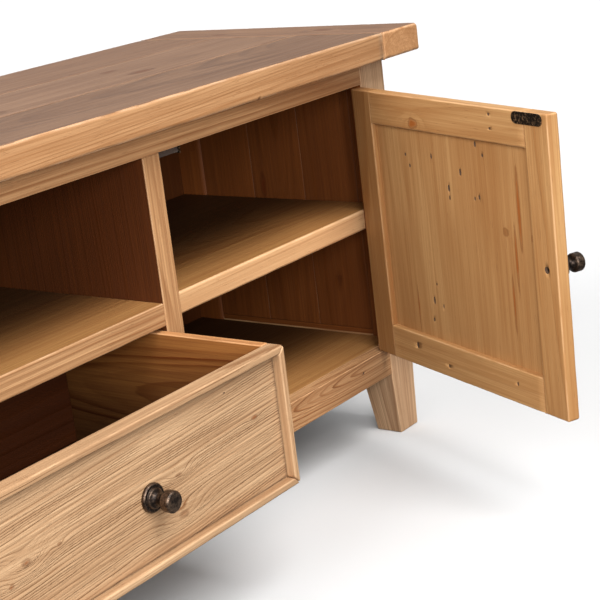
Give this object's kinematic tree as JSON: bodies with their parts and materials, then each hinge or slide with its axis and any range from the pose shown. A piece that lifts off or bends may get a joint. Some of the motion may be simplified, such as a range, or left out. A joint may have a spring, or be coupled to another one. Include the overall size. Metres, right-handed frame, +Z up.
{
  "type": "media cabinet",
  "caption": "Long low pine cabinet on tapered legs, with an open middle bay over a drawer and a framed door on each side.",
  "frame": {"origin": "middle of the cabinet's box on the floor, with the right door and the drawer standing open as stored", "axes": "+Z up, +X to the right along the cabinet's length seen from the front, +Y to the back"},
  "size_m": [1.6, 0.8126, 0.6],
  "materials": {
    "pine_top": "old pine boards, waxed, greyer on the upper face",
    "pine_frame": "brushed old pine, waxed, honey colour",
    "pine_inside": "old pine boards, waxed, inside faces",
    "pine_door": "old pine, waxed, with knots and worm holes",
    "pine_drawer": "wire-brushed old pine with raised grain, waxed",
    "iron_dark": "dark browned cast iron, rubbed on its edges",
    "brass_aged": "dull aged brass",
    "catch_plastic": "moulded plastic case of a magnetic catch"
  },
  "bodies": {
    "carcass": {"top_board_front": "pine_top", "top_board_middle": "pine_top", "top_board_back": "pine_top", "top_end_left": "pine_top", "top_end_right": "pine_top", "leg_front_left": "pine_frame", "leg_front_right": "pine_frame", "leg_back_left": "pine_frame", "leg_back_right": "pine_frame", "front_top_rail": "pine_frame", "front_low_rail": "pine_frame", "side_top_rail_left": "pine_frame", "side_low_rail_left": "pine_frame", "side_panel_left": "pine_inside", "divider_left": "pine_frame", "cupboard_shelf_left": "pine_inside", "drawer_runner_left": "pine_inside", "left_catch": "catch_plastic", "left_low_hinge_post_leaf": "brass_aged", "left_high_hinge_post_leaf": "brass_aged", "side_top_rail_right": "pine_frame", "side_low_rail_right": "pine_frame", "side_panel_right": "pine_inside", "divider_right": "pine_frame", "cupboard_shelf_right": "pine_inside", "drawer_runner_right": "pine_inside", "right_catch": "catch_plastic", "right_low_hinge_post_leaf": "brass_aged", "right_high_hinge_post_leaf": "brass_aged", "back_panel": "pine_inside", "floor_board": "pine_inside", "bay_shelf": "pine_frame"},
    "right_door": {"right_low_hinge_door_leaf": "brass_aged", "right_high_hinge_door_leaf": "brass_aged", "right_door_hinge_stile": "pine_door", "right_door_free_stile": "pine_door", "right_door_top_rail": "pine_door", "right_door_low_rail": "pine_door", "right_door_panel": "pine_door", "right_door_knob": "iron_dark", "right_door_strike": "iron_dark"},
    "left_door": {"left_low_hinge_door_leaf": "brass_aged", "left_high_hinge_door_leaf": "brass_aged", "left_door_hinge_stile": "pine_door", "left_door_free_stile": "pine_door", "left_door_top_rail": "pine_door", "left_door_low_rail": "pine_door", "left_door_panel": "pine_door", "left_door_knob": "iron_dark", "left_door_strike": "iron_dark"},
    "drawer": {"drawer_front": "pine_drawer", "drawer_bead_top": "pine_drawer", "drawer_bead_low": "pine_drawer", "drawer_bead_left": "pine_drawer", "drawer_bead_right": "pine_drawer", "drawer_side_left": "pine_drawer", "drawer_side_right": "pine_drawer", "drawer_back": "pine_drawer", "drawer_floor": "pine_drawer", "drawer_knob": "iron_dark"}
  },
  "joints": [
    {"name": "right_door_hinge", "type": "hinge", "parent": "carcass", "child": "right_door", "pos_m": [0.701, -0.00753, 0.334], "axis": [0, 0, 1], "range_deg": [-67, 48]},
    {"name": "left_door_hinge", "type": "hinge", "parent": "carcass", "child": "left_door", "pos_m": [-0.701, -0.00753, 0.334], "axis": [0, 0, -1], "range_deg": [0, 115]},
    {"name": "drawer_slide", "type": "slide", "parent": "carcass", "child": "drawer", "axis": [0, -1, 0], "range_m": [-0.18, 0.1]}
  ]
}
